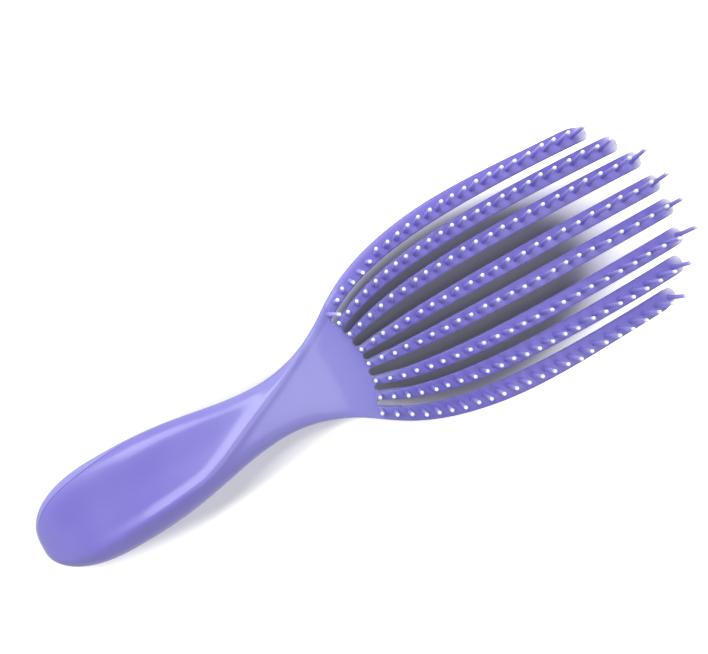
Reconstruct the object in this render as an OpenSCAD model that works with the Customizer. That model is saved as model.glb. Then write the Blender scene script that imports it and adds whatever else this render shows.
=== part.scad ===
// Flexible detangling brush, lying on its back with the pins up.
// X runs along the brush to the arm tips, Y across it and Z up; the origin is on the
// table under the middle of the brush's length.

/* [Overall] */
// Grip, neck and palm together, from the grip's end to where the middle arms begin
handle_l = 128.5; // [114:0.5:146]
// A middle arm, from the palm to its tip
arm_l = 117; // [96:1:130]

/* [Handle] */
// Width of the grip at its widest
grip_w = 34.2; // [29:0.2:38]
// Height of the grip's front above the table
grip_t = 21; // [18:0.5:25]
// Distance from the grip's end to its widest place
grip_peak = 30; // [25:1:35]
// Distance from the grip's end to where its front begins to slope down to the palm
slope_from = 38; // [32:1:50]
// Width of the neck at its narrowest
neck_w = 20.9; // [18:0.1:24]
// Distance from the grip's end to the narrowest place of the neck
neck_at = 90; // [82:1:96]
// Lift of the neck's back off the table
neck_lift = 2.2; // [1:0.1:3.4]
// Length of the lifted back of the neck
neck_lift_l = 42; // [34:1:46]
// Width of the palm where the middle arms begin
palm_w = 52.3; // [49:0.1:56]
// Height of the palm's front face above the table where the arms begin
palm_h = 7.6; // [7:0.1:9]
// Wall of the handle's two shells
shell_wall = 3.6; // [3:0.1:4]
// Height of the seam between the shells at the grip
seam_grip_h = 10; // [8:0.5:12]
// Height of the seam between the shells at the palm
seam_palm_h = 2.8; // [2.4:0.1:3.2]
// Distance from the middle arms' roots back to the end of the back shell
cover_back = 15; // [12:0.5:20]
// Gap between the end of the back shell and the palm
cover_gap = 0.1; // [0.05:0.05:0.3]
// Distance from the grip's end to where the ridge leaves the grip's side
ridge_from = 60; // [52:1:66]
// Distance from the grip's end to where the ridge reaches the palm's side
ridge_to = 113; // [106:1:118]
// Height of the ridge's rounded bead
ridge_h = 0.9; // [0.4:0.1:1.4]
// Width of the ridge's bead
ridge_w = 5; // [3:0.5:8]
// Depth of the grip's dished front
dish_depth = 1.3; // [0.5:0.1:2]
// Sideways shift of the grip's end: the handle stands a little askew to the head
grip_shift = 2.6; // [0:0.1:4]

/* [Shell joint] */
// Diameter of the pegs that locate the back shell
peg_d = 3; // [2:0.1:3.6]
// Height that a peg stands above the seam
peg_h = 4; // [2:0.5:5]
// Diameter of the bosses round the pegs
boss_d = 6.4; // [5.4:0.1:8]
// Clearance round a peg
peg_gap = 0.1; // [0.05:0.05:0.2]
// Distance from the grip's end to the first peg
peg_first = 22; // [20:1:26]
// Distance between the pegs
peg_pitch = 22; // [18:1:23]

/* [Arms] */
// Rise of the arms' front face from the palm to its highest place
head_rise = 7.4; // [5:0.2:9]
// Radius of the arch that the arms follow, seen from the side
head_r = 600; // [500:10:700]
// Depth of an arm, front to back
arm_t = 4.4; // [3.8:0.1:5]
// Width of an arm at its root
arm_root_w = 3.1; // [2.8:0.1:3.3]
// Width of an arm at its tip
arm_tip_w = 6.2; // [5:0.1:6.6]
// Length over which an arm widens behind its root
widen_l = 26; // [20:1:60]
// Extra width on the outer side of the outermost arms, next to the palm
shoulder_w = 1.5; // [0.5:0.1:2.6]
// Distance from the root to where that extra width begins to run out
shoulder_from = 38; // [20:1:50]
// Distance from the root to where it has run out
shoulder_to = 95; // [70:1:100]
// Radius of the corners at an arm's tip
tip_r = 2.2; // [1:0.1:2.4]
// Length of the long round outer corner at the tips of the outermost arms
outer_tip_l = 8; // [3:0.5:12]
// How far that corner draws in
outer_tip_w = 3; // [2:0.1:3.4]
// Half the width of the root of the arms, to the outermost row of pins
root_half = 19; // [18:0.2:20]
// How far the outermost row fans out beyond that
fan_out = 16.4; // [13:0.2:18]
// Length over which the rows fan out
fan_l = 23.7; // [20:0.5:30]
// How far the outermost row draws in again at the tips
draw_in = 4.2; // [2:0.1:5]
// Setback of the outermost arms' roots behind the middle ones
root_bow = 4.3; // [3.5:0.1:5]
// Setback of the outermost arms' tips behind the middle ones
tip_bow = 14; // [8:0.5:18]
// Distance from the middle arms' roots to the round end of the slot between them
slot_start = 0.7; // [0.3:0.1:1.6]
// Setback of the outermost slots' round ends behind that
slot_bow = 4.1; // [3:0.1:4.3]

/* [Pins] */
// Length of a pin above the arm's face
pin_l = 12; // [9:0.5:14]
// Diameter of a pin at the arm's face
pin_base_d = 1.7; // [1.4:0.1:1.9]
// Diameter of a pin at its tip
pin_tip_d = 1.15; // [0.9:0.05:1.3]
// Distance from an arm's root to the first pin of its row
pin_first = 0.4; // [0.2:0.1:0.6]
// Distance from the last pin of a row to the arm's tip, on the arm where it is shortest
pin_last = 2.3; // [2.2:0.1:2.6]
// Thickness of the strip that carries the pins
strip_t = 1.3; // [1.1:0.1:1.6]
// Inset of an arm's sides under the pin strip
web_inset = 0.35; // [0.1:0.05:0.45]
// Gap between a pin strip and its arm
strip_gap = 0.05; // [0.02:0.01:0.1]
// Diameter of the pegs that fix a pin strip to its arm
strip_peg_d = 1.5; // [1.2:0.1:1.8]
// Depth of those pegs in the arm
strip_peg_h = 1.8; // [1.2:0.1:2.2]

/* [Flex] */
// Clearance round a root's upright knuckle
knuckle_gap = 0.12; // [0.08:0.02:0.2]
// Gap left beside the knuckles so that an arm can turn
swing_gap = 0.55; // [0.5:0.05:0.7]
// Inset of the cross knuckle under the arm's front and back
knuckle_inset = 0.1; // [0.06:0.02:0.16]
// Clearance round the cross knuckle
cross_gap = 0.3; // [0.25:0.05:0.4]

/* [Hidden] */

// Rows, counted from +Y to -Y: place of each across the head, as a share of the outermost
row_shares = [1, 0.74, 0.47, 0.147, -0.147, -0.47, -0.74, -1];
row_pins = 24;
strip_pegs = 3;
shell_pegs = 3;

// Shape shares of the outline: roundness of the grip's end, and of the curves that follow it
end_round_shares = [2.4, 2.1];
waist_power_share = 1.28;
flare_power_share = 2;
tip_bow_power_share = 2.5;
pin_crowd_share = 0.075;
// Free length beyond the last pin of each row, as a share of the shortest
pin_last_shares = [2.48, 3.04, 1.7, 1.52, 1.3, 1, 2, 1.3];
// The ridge's place across the grip and across the palm, as shares of the half width
ridge_place_shares = [-0.59, 0.94];
// How square a facet's section is: for a narrow one, and what a wide one adds
facet_power_shares = [1.5, 2.6];
back_power_share = 3;
dish_limit_shares = [0.3, 0.5];

grip_end_x = -(handle_l + arm_l) / 2;
root_x = grip_end_x + handle_l;
loft_end = handle_l - root_bow - arm_root_w / 4;
cover_end = handle_l - cover_back;
// Depth by which the loft dips below the table before its flat rest is cut
rest_dip = 0.4;
// One overrun for every cut and every fused joint
over = 1;
// Chamfer along the palm's lower edge
palm_chamfer = 0.35;
// Shortest step of the loft: at the grip's rounded end, and where the back shell stops
step_l = 0.3;
// Step over which a row's slope is taken
slope_step = 1;

ring_steps = 14;
station_steps = 26;
arm_steps = 12;
corner_steps = 3;
// Share of a tip's quarter round that its last point leaves out, so that the tip ends flat
corner_end_share = 0.1;
big_fn = 720;
round_fn = 32;
pin_fn = 16;

handle_colour = [0.62, 0.61, 0.9];
arm_colour = [0.45, 0.41, 0.74];
pin_colour = [0.8, 0.78, 0.95];

function clamp01(q) = min(1, max(0, q));
function ease(q) = let (c = clamp01(q)) c * c * (3 - 2 * c);
function mix(a, b, q) = a + (b - a) * q;

// Handle outline, by the distance d from the grip's end

function end_cap(d) =
    d >= grip_peak ? 1 : pow(1 - pow(1 - d / grip_peak, end_round_shares[0]), 1 / end_round_shares[1]);
function half_w(d) =
    d <= grip_peak ? grip_w / 2 * end_cap(d)
    : d <= neck_at ?
        let (q = pow((d - grip_peak) / (neck_at - grip_peak), waist_power_share))
        mix(neck_w, grip_w, (1 + cos(180 * q)) / 2) / 2
    : mix(neck_w, palm_w, pow((d - neck_at) / (handle_l - neck_at), flare_power_share)) / 2;
function side_y(d) = -grip_shift * clamp01(1 - d / loft_end);
function seam_z(d) = mix(seam_grip_h, seam_palm_h, ease((d - slope_from) / (cover_end - slope_from)));
function ridge_z(d) =
    let (full = mix(grip_t, face_z(grip_end_x + loft_end), ease((d - slope_from) / (loft_end - slope_from))))
    seam_z(d) + (full - seam_z(d)) * end_cap(d);
function ridge_y(d) =
    let (q = ease((d - ridge_from) / (ridge_to - ridge_from)))
    half_w(d) * mix(ridge_place_shares[0], ridge_place_shares[1], q);
function lift(d) =
    let (q = clamp01((d - neck_at) / neck_lift_l + 1 / 2)) neck_lift * pow(sin(180 * q), 2);

// Front face: two facets that fall from the ridge to the seam on either side
function facet(a, share) =
    let (p = facet_power_shares[0] + facet_power_shares[1] * share) pow(1 - pow(clamp01(a), p), 1 / p);
function dish(a, share) =
    let (wide = clamp01((share - dish_limit_shares[0]) / dish_limit_shares[1]))
    dish_depth * wide * pow(sin(180 * clamp01(a)), 2);
function front_z(d, y) =
    let (
        w = half_w(d), r = ridge_y(d), share = (w - r) / (2 * w),
        a = y > r ? (y - r) / (w - r) : (r - y) / (w + r),
        rise = ridge_z(d) - seam_z(d),
        bead = ridge_h * exp(-pow(2 * (y - r) / ridge_w, 2)) * (1 - pow(min(1, abs(y) / w), 8)),
        fade = ease((d - grip_peak / 3) / grip_peak)
    )
    seam_z(d) + rise * facet(a, y > r ? share : 1 - share)
        + bead * fade - (y > r ? dish(a, share) * end_cap(d) : 0);
function back_z(d, y) =
    let (v = min(1, abs(y) / half_w(d)), deep = seam_z(d) - lift(d) + rest_dip)
    seam_z(d) - deep * end_cap(d) * pow(1 - pow(v, back_power_share), 1 / back_power_share);

function inner_w(d) = max(half_w(d) - shell_wall, half_w(d) / 2);
function front_inner_z(d, y) = max(seam_z(d), front_z(d, y) - shell_wall);
function back_inner_z(d, y) = min(seam_z(d), back_z(d, y) + shell_wall);

// A loft through rings of points. Each ring runs along the outer face of a wall and back
// along the inner one, so an end is closed by a strip between the two runs.
module loft(rings) {
    m = len(rings[0]);
    k = len(rings);
    last = (k - 1) * m;
    sides = [
        for (i = [0 : k - 2], j = [0 : m - 1], part = [0, 1])
            let (a = i * m + j, b = i * m + (j + 1) % m)
            part == 0 ? [a, b + m, b] : [a, a + m, b + m]
    ];
    strip = [
        for (j = [0 : m / 2 - 2], part = [0, 1])
            j < m / 4 - 1
            ? (part == 0 ? [j, j + 1, m - 1 - j] : [j + 1, m - 2 - j, m - 1 - j])
            : (part == 0 ? [j, j + 1, m - 2 - j] : [j, m - 2 - j, m - 1 - j])
    ];
    ends = concat(strip, [for (f = strip) [last + f[2], last + f[1], last + f[0]]]);
    polyhedron([for (ring = rings) each ring], concat(sides, ends), convexity = 6);
}

// Distances of the rings from the grip's end, closer together over its first quarter
function grip_stations(last) = [
    for (i = [0 : station_steps])
        let (q = i / station_steps)
        last * (q < 1 / 4 ? 2 * q * q + q / 2 + step_l / last * (1 - 4 * q) : q)
];
function ring_y(w, j) = w * cos(180 * j / ring_steps);
function front_ring(d, full) = concat(
    [for (j = [0 : ring_steps])
        let (y = ring_y(half_w(d), j)) [grip_end_x + d, y + side_y(d), front_z(d, y)]],
    [for (j = [ring_steps : -1 : 0])
        let (y = ring_y(full ? half_w(d) - palm_chamfer : inner_w(d), j))
        [grip_end_x + d, y + side_y(d), full ? back_z(d, y) : front_inner_z(d, y)]]
);
function back_ring(d) = concat(
    [for (j = [ring_steps : -1 : 0])
        let (y = ring_y(half_w(d), j)) [grip_end_x + d, y + side_y(d), back_z(d, y)]],
    [for (j = [0 : ring_steps])
        let (y = ring_y(inner_w(d), j)) [grip_end_x + d, y + side_y(d), back_inner_z(d, y)]]
);

// Arms and rows, by the row's share s and the distance t from its root

function row_x(s) = root_x - root_bow * s * s;
function row_l(s) = root_x + arm_l - tip_bow * pow(abs(s), tip_bow_power_share) - row_x(s);
function row_half(t) =
    root_half + fan_out * (1 - exp(-max(0, t) / fan_l)) - draw_in * pow(max(0, t) / arm_l, 2);
function row_y(s, t) = s * row_half(t);
function row_slope(s, t) = s * (row_half(t + slope_step) - row_half(t)) / slope_step;
function secant(s, t) = sqrt(1 + pow(row_slope(s, t), 2));
function outer_extra(s, t, side) =
    s * side == 1 ? shoulder_w * (1 - ease((t - shoulder_from) / (shoulder_to - shoulder_from))) : 0;
function plain_half(t) =
    mix(arm_root_w, arm_tip_w, (1 - exp(-max(0, t) / widen_l)) / (1 - exp(-arm_l / widen_l))) / 2;
function corner_l(s, side) = s * side == 1 ? outer_tip_l : tip_r;
function corner_cut(s, t, side) =
    let (into = clamp01((t - row_l(s)) / corner_l(s, side) + 1))
    (s * side == 1 ? outer_tip_w : tip_r) * (1 - sqrt(1 - into * into));
function edge_y(s, t, side, inset = 0) =
    row_y(s, t)
        + side * secant(s, t) * (plain_half(t) + outer_extra(s, t, side) - corner_cut(s, t, side) - inset);

function arch_apex_x() = root_x + sqrt(head_r * head_r - pow(head_r - head_rise, 2));
function face_z(x) = palm_h + head_rise - head_r + sqrt(head_r * head_r - pow(x - arch_apex_x(), 2));

function row_number(s) = [for (i = [0 : len(row_shares) - 1]) if (row_shares[i] == s) i][0];
function pin_t(s, k) =
    let (q = k / (row_pins - 1), last = pin_last * pin_last_shares[row_number(s)])
    pin_first + (row_l(s) - pin_first - last) * (q - pin_crowd_share * (q - q * q * q));
function splay_t(s) = pin_t(s, 1);
function bend_t(s) = (pin_t(s, 2) + pin_t(s, 3)) / 2;
function bend_x(s) = row_x(s) + bend_t(s);
function bend_z(s) = face_z(bend_x(s)) - arm_t / 2;

// Slice of the arched sheet that all the arms are cut from, between two depths below its face
module arch_sheet(top, bottom) {
    translate([arch_apex_x(), palm_w, palm_h + head_rise - head_r])
        rotate([90, 0, 0])
            rotate_extrude($fn = big_fn)
                translate([head_r - bottom, 0])
                    square([bottom - top, 2 * palm_w]);
}

// Plan outline of a row between the distances t0 and t1 from its root
module row_plan(s, t0, t1, inset = 0) {
    corner_t = row_l(s) - tip_r;
    straight = min(t1, row_l(s) - corner_l(s, s > 0 ? 1 : -1));
    ts = concat(
        [for (i = [0 : arm_steps]) mix(t0, straight, i / arm_steps)],
        [for (i = [1 : straight < min(t1, corner_t) ? corner_steps : 0])
            mix(straight, corner_t, i / corner_steps)],
        [for (i = [1 : t1 > corner_t ? corner_steps : 0])
            corner_t + tip_r * sin(90 * (1 - corner_end_share) * i / corner_steps)]
    );
    polygon(concat(
        [for (t = ts) [row_x(s) + t, edge_y(s, t, -1, inset)]],
        [for (i = [len(ts) - 1 : -1 : 0]) [row_x(s) + ts[i], edge_y(s, ts[i], 1, inset)]]
    ));
}

module row_slab(s, t0, t1, top, bottom, inset = 0) {
    intersection() {
        arch_sheet(top, bottom);
        linear_extrude(2 * grip_t)
            row_plan(s, t0, t1, inset);
    }
}

// One moulded pin, tapered, with a blunt tip, and a foot that is sunk in what carries it
module pin(foot) {
    r0 = pin_base_d / 2;
    r1 = pin_tip_d / 2;
    rotate_extrude($fn = pin_fn)
        polygon([[0, -foot], [r0, -foot], [r0, 0], [r1, pin_l - r1], [r1 / 2, pin_l], [0, pin_l]]);
}

module pins(s, k0, k1) {
    for (k = [k0 : k1])
        let (t = pin_t(s, k), x = row_x(s) + t)
        translate([x, row_y(s, t), face_z(x)])
            pin(strip_t / 2);
}

module cross_knuckle(s, r) {
    translate([bend_x(s), palm_w, bend_z(s)])
        rotate([90, 0, 0])
            cylinder(h = 2 * palm_w, r = r, $fn = round_fn);
}

// Slot between two rows: a round end at the palm and sides that follow both arms
function slot_x(sa, sb) =
    let (share = (sa + sb) / (row_shares[0] + row_shares[1])) root_x + slot_start - slot_bow * share * share;
function slot_side(s, side, x) = edge_y(s, x - row_x(s), side);
module slot_plan(sa, sb) {
    x0 = slot_x(sa, sb);
    x1 = root_x + 2 * arm_root_w;
    hi = slot_side(sa, -1, x0);
    lo = slot_side(sb, 1, x0);
    slope = (row_slope(sa, x0 - row_x(sa)) + row_slope(sb, x0 - row_x(sb))) / 2;
    xs = [for (i = [0 : corner_steps]) mix(x0, x1, i / corner_steps)];
    translate([x0, (hi + lo) / 2])
        circle(r = (hi - lo) / 2 / sqrt(1 + slope * slope), $fn = round_fn);
    polygon(concat(
        [for (x = xs) [x, slot_side(sb, 1, x)]],
        [for (i = [corner_steps : -1 : 0]) [xs[i], slot_side(sa, -1, xs[i])]]
    ));
}

// Point on the palm's side along an outermost row's stub, from its root to near its knuckle
function palm_side(side, q) =
    let (t = max(0, splay_t(side) * q - swing_gap)) [row_x(side) + t, edge_y(side, t, side)];

// Plan of the palm's front edge, with a stub for each row
module palm_plan() {
    x0 = grip_end_x + loft_end - over;
    difference() {
        polygon(concat(
            [[x0, side_y(loft_end - over) - half_w(loft_end - over) + palm_chamfer]],
            [for (q = [0, 1 / 2, 1]) palm_side(-1, q)],
            [for (i = [len(row_shares) - 1 : -1 : 0], side = [-1, 1])
                let (s = row_shares[i], t = splay_t(s))
                if (s * side != 1) [row_x(s) + t - swing_gap / 2, edge_y(s, t, side)]],
            [for (q = [1, 1 / 2, 0]) palm_side(1, q)],
            [[x0, side_y(loft_end - over) + half_w(loft_end - over) - palm_chamfer]]
        ));
        for (i = [0 : len(row_shares) - 2])
            slot_plan(row_shares[i], row_shares[i + 1]);
        for (s = row_shares)
            translate([row_x(s) + splay_t(s), row_y(s, splay_t(s))])
                circle(r = arm_root_w / 2 + knuckle_gap, $fn = round_fn);
    }
}

function peg_at(i) = peg_first + i * peg_pitch;

// Front half of the grip and neck with the whole palm, in one moulding
module handle_front() {
    color(handle_colour) {
        difference() {
            union() {
                loft(concat(
                    [for (d = grip_stations(cover_end)) front_ring(d, false)],
                    [for (q = [0 : 1 / 4 : 1]) front_ring(mix(cover_end + step_l, loft_end, q), true)]
                ));
                for (i = [0 : shell_pegs - 1])
                    translate([grip_end_x + peg_at(i), side_y(peg_at(i)), seam_z(peg_at(i))])
                        cylinder(h = front_inner_z(peg_at(i), 0) - seam_z(peg_at(i)) + shell_wall / 2,
                            d = boss_d, $fn = round_fn);
                intersection() {
                    arch_sheet(0, arm_t);
                    linear_extrude(2 * grip_t)
                        palm_plan();
                }
            }
            for (i = [0 : shell_pegs - 1])
                translate([grip_end_x + peg_at(i), side_y(peg_at(i)), seam_z(peg_at(i)) - over])
                    cylinder(h = peg_h + over + peg_gap, d = peg_d + 2 * peg_gap, $fn = round_fn);
            translate([grip_end_x, -palm_w, -palm_w])
                cube([handle_l, 2 * palm_w, palm_w]);
        }
        for (s = row_shares)
            pins(s, 0, 0);
    }
}

// Back half of the grip and neck
module handle_back() {
    color(handle_colour)
        difference() {
            union() {
                loft([for (d = grip_stations(cover_end - cover_gap)) back_ring(d)]);
                for (i = [0 : shell_pegs - 1])
                    translate([grip_end_x + peg_at(i), side_y(peg_at(i)), shell_wall / 2]) {
                        cylinder(h = seam_z(peg_at(i)) - shell_wall / 2, d = boss_d, $fn = round_fn);
                        cylinder(h = seam_z(peg_at(i)) - shell_wall / 2 + peg_h, d = peg_d, $fn = round_fn);
                    }
            }
            translate([grip_end_x, -palm_w, -palm_w])
                cube([handle_l, 2 * palm_w, palm_w]);
        }
}

// Root of one arm: an upright knuckle that turns in the palm, and a cross knuckle for the arm
module arm_root(s) {
    color(arm_colour) {
        intersection() {
            union() {
                intersection() {
                    arch_sheet(0, arm_t);
                    translate([row_x(s), -palm_w, 0])
                        cube([bend_t(s), 2 * palm_w, 2 * grip_t]);
                }
                cross_knuckle(s, arm_t / 2 - knuckle_inset);
            }
            linear_extrude(2 * grip_t)
                union() {
                    translate([row_x(s) + splay_t(s), row_y(s, splay_t(s))])
                        circle(d = arm_root_w, $fn = round_fn);
                    row_plan(s, splay_t(s), bend_t(s) + arm_t / 2);
                }
        }
        pins(s, 1, 2);
    }
}

function strip_peg_t(s, i) =
    let (k = round((i + 1 / 2) * (row_pins - 3) / strip_pegs) + 2) (pin_t(s, k) + pin_t(s, k + 1)) / 2;

module strip_peg_places(s) {
    for (i = [0 : strip_pegs - 1])
        let (t = strip_peg_t(s, i), x = row_x(s) + t)
        translate([x, row_y(s, t), face_z(x) - strip_t])
            children();
}

// Carrier of one arm, under its pin strip
module arm(s) {
    color(arm_colour)
        difference() {
            row_slab(s, bend_t(s) + swing_gap, row_l(s), strip_t + strip_gap, arm_t, web_inset);
            cross_knuckle(s, arm_t / 2 - knuckle_inset + cross_gap);
            strip_peg_places(s)
                translate([0, 0, -strip_peg_h - strip_gap])
                    cylinder(h = strip_peg_h + over, d = strip_peg_d + 2 * strip_gap, $fn = round_fn);
        }
}

// Front strip of one arm with its pins
module pin_strip(s) {
    color(pin_colour) {
        difference() {
            row_slab(s, bend_t(s) + swing_gap, row_l(s), 0, strip_t);
            cross_knuckle(s, arm_t / 2 - knuckle_inset + cross_gap);
        }
        pins(s, 3, row_pins - 1);
        strip_peg_places(s)
            translate([0, 0, -strip_peg_h])
                cylinder(h = strip_peg_h + strip_t / 2, d = strip_peg_d, $fn = round_fn);
    }
}

handle_front();
handle_back();
arm_root(row_shares[0]);  // arm_root_1
arm_root(row_shares[1]);  // arm_root_2
arm_root(row_shares[2]);  // arm_root_3
arm_root(row_shares[3]);  // arm_root_4
arm_root(row_shares[4]);  // arm_root_5
arm_root(row_shares[5]);  // arm_root_6
arm_root(row_shares[6]);  // arm_root_7
arm_root(row_shares[7]);  // arm_root_8
arm(row_shares[0]);  // arm_1
arm(row_shares[1]);  // arm_2
arm(row_shares[2]);  // arm_3
arm(row_shares[3]);  // arm_4
arm(row_shares[4]);  // arm_5
arm(row_shares[5]);  // arm_6
arm(row_shares[6]);  // arm_7
arm(row_shares[7]);  // arm_8
pin_strip(row_shares[0]);  // pin_strip_1
pin_strip(row_shares[1]);  // pin_strip_2
pin_strip(row_shares[2]);  // pin_strip_3
pin_strip(row_shares[3]);  // pin_strip_4
pin_strip(row_shares[4]);  // pin_strip_5
pin_strip(row_shares[5]);  // pin_strip_6
pin_strip(row_shares[6]);  // pin_strip_7
pin_strip(row_shares[7]);  // pin_strip_8
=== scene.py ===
"""Flexible detangling brush on a pale floor, seen from straight above, in metres."""
import math

import bmesh
import bpy
import numpy as np
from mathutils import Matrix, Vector


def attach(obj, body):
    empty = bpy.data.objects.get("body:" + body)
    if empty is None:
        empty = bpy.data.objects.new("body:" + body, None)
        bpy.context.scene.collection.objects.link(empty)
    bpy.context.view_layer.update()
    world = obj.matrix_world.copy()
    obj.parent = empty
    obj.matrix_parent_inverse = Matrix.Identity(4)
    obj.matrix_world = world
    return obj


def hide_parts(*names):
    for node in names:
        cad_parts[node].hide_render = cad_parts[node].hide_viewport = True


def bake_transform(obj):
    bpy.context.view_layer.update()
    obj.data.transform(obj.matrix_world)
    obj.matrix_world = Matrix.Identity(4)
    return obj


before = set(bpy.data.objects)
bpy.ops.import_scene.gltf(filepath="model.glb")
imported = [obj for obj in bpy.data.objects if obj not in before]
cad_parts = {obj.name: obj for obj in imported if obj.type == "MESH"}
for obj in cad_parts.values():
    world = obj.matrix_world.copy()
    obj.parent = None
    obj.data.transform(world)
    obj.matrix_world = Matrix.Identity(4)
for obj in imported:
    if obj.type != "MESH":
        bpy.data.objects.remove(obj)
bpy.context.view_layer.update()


# The camera looks straight down from an arm's length, close enough for the pins and the
# sides of the grip to show in perspective. The brush's +X runs up to the right.
BRUSH_TURN = math.radians(28.95)
CAMERA_PLACE = (0.00745, 0.0111, 0.233)
HEAD_PLANE_Z = 0.013
VIEW_W = 0.2416
SENSOR_W = 36
CLIP_START = 0.01


def link_new(name, data):
    """A new object that holds data, in the scene."""
    obj = bpy.data.objects.new(name, data)
    bpy.context.scene.collection.objects.link(obj)
    return obj


camera = link_new("camera", bpy.data.cameras.new("camera"))
bpy.context.scene.camera = camera
camera.data.sensor_width = SENSOR_W
camera.data.lens = SENSOR_W * (CAMERA_PLACE[2] - HEAD_PLANE_Z) / VIEW_W
camera.data.clip_start = CLIP_START
camera.location = CAMERA_PLACE
camera.rotation_euler = (0, 0, -BRUSH_TURN)


# The floor is a matte white sheet, painted grey under the head as a painted shadow, where
# little light gets through the arms, and glowing white for the camera away from the brush,
# painted light that clears its shadow there. A wide soft lamp stands over the upper left of the
# picture and another high over its right side, and the world fills in from all round.
FLOOR_SIZE = 3.0
FLOOR_WHITE = 0.97
UNDER_HEAD_SHADOW_GREY = 0.36
NEAR_PAINTED_GLOW = 0.02
AWAY_PAINTED_GLOW = 0.8
HEAD_ZONE = ((0.045, 0), (0.052, 0.034))
GRIP_ZONE = ((-0.066, -0.004), (0.074, 0.020))
GLOW_FROM, GLOW_FULL = 0.85, 1.3
UNDER_HEAD_FROM, UNDER_HEAD_TO = 0.75, 1.05
LAMP_AIM = (0, 0, 0.01)
LAMPS = {
    "lamp_left": {"turn": 134, "rise": 46, "away": 0.75, "width": 0.50, "watts": 4.9},
    "lamp_right": {"turn": -5, "rise": 66, "away": 0.80, "width": 0.60, "watts": 2.8},
}
WORLD_STRENGTH = 0.68
ZENITH_FROM, ZENITH_FULL, ZENITH_SHARE = 0.40, 0.92, 0.02


def floor_material():
    """Matte white, painted grey under the head as a painted shadow, that adds some white of its
    own for the camera as painted light: little under and beside the brush, more away from it,
    where it clears the shadow. Each zone is an ellipse with a centre and half axes, and the
    distance from its centre is 1 on its edge."""
    material = bpy.data.materials.new("floor_painted_light_and_shade")
    material.use_nodes = True
    nodes, links = material.node_tree.nodes, material.node_tree.links
    shader = nodes["Principled BSDF"]
    shader.inputs["Roughness"].default_value = 0.9
    shader.inputs["Specular IOR Level"].default_value = 0.1
    place = nodes.new("ShaderNodeTexCoord")
    far = []
    for (x, y), (long, wide) in (HEAD_ZONE, GRIP_ZONE):
        zone = nodes.new("ShaderNodeMapping")
        zone.vector_type = "TEXTURE"
        zone.inputs["Location"].default_value = (x, y, 0)
        zone.inputs["Scale"].default_value = (long, wide, 1)
        length = nodes.new("ShaderNodeVectorMath")
        length.operation = "LENGTH"
        links.new(place.outputs["Object"], zone.inputs["Vector"])
        links.new(zone.outputs["Vector"], length.inputs[0])
        far.append(length.outputs["Value"])
    nearest = nodes.new("ShaderNodeMath")
    nearest.operation = "MINIMUM"
    for distance, socket in zip(far, nearest.inputs):
        links.new(distance, socket)

    def outwards(distance, start, end, inside, outside):
        """A soft step from one value inside a distance to another outside it."""
        step = nodes.new("ShaderNodeMapRange")
        step.interpolation_type = "SMOOTHSTEP"
        step.inputs["From Min"].default_value = start
        step.inputs["From Max"].default_value = end
        step.inputs["To Min"].default_value = inside
        step.inputs["To Max"].default_value = outside
        links.new(distance, step.inputs["Value"])
        return step.outputs["Result"]

    # Painted shadow: the floor's own colour is grey under the head.
    sheet = outwards(far[0], UNDER_HEAD_FROM, UNDER_HEAD_TO, UNDER_HEAD_SHADOW_GREY, FLOOR_WHITE)
    links.new(sheet, shader.inputs["Base Color"])
    path = nodes.new("ShaderNodeLightPath")
    lift = nodes.new("ShaderNodeMath")
    lift.operation = "MULTIPLY"
    # Painted light: the floor's glow is strong away from the brush and faint near it.
    own = outwards(nearest.outputs[0], GLOW_FROM, GLOW_FULL, NEAR_PAINTED_GLOW, AWAY_PAINTED_GLOW)
    links.new(own, lift.inputs[0])
    links.new(path.outputs["Is Camera Ray"], lift.inputs[1])
    shader.inputs["Emission Color"].default_value = (1, 1, 1, 1)
    links.new(lift.outputs[0], shader.inputs["Emission Strength"])
    return material


def make_floor():
    """One square sheet at the height of the table."""
    mesh = bpy.data.meshes.new("floor")
    half = FLOOR_SIZE / 2
    corners = [(-half, -half, 0), (half, -half, 0), (half, half, 0), (-half, half, 0)]
    mesh.from_pydata(corners, [], [(0, 1, 2, 3)])
    mesh.materials.append(floor_material())
    floor = link_new("floor", mesh)
    floor.visible_glossy = False


def make_lamps():
    """Square soft lamps. Turn is measured in the picture, anticlockwise from its right side,
    and rise is the height over the floor, both in degrees."""
    for name, lamp in LAMPS.items():
        data = bpy.data.lights.new(name, "AREA")
        data.shape = "SQUARE"
        data.size = lamp["width"]
        data.energy = lamp["watts"]
        turn, rise = math.radians(lamp["turn"]) - BRUSH_TURN, math.radians(lamp["rise"])
        flat = math.cos(rise)
        way = Vector((math.cos(turn) * flat, math.sin(turn) * flat, math.sin(rise)))
        obj = link_new(name, data)
        obj.location = Vector(LAMP_AIM) + way * lamp["away"]
        obj.rotation_euler = way.to_track_quat("Z", "Y").to_euler()


def make_world():
    """White all round, and dim straight above, where the camera is in the way."""
    world = bpy.data.worlds.new("world")
    bpy.context.scene.world = world
    world.use_nodes = True
    nodes, links = world.node_tree.nodes, world.node_tree.links
    way = nodes.new("ShaderNodeTexCoord")
    split = nodes.new("ShaderNodeSeparateXYZ")
    dim = nodes.new("ShaderNodeMapRange")
    dim.interpolation_type = "SMOOTHSTEP"
    dim.inputs["From Min"].default_value = ZENITH_FROM
    dim.inputs["From Max"].default_value = ZENITH_FULL
    dim.inputs["To Min"].default_value = WORLD_STRENGTH
    dim.inputs["To Max"].default_value = WORLD_STRENGTH * ZENITH_SHARE
    links.new(way.outputs["Generated"], split.inputs[0])
    links.new(split.outputs["Z"], dim.inputs["Value"])
    nodes["Background"].inputs["Color"].default_value = (1, 1, 1, 1)
    links.new(dim.outputs["Result"], nodes["Background"].inputs["Strength"])


make_floor()
make_lamps()
make_world()
bpy.context.scene.view_settings.view_transform = "Standard"


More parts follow.
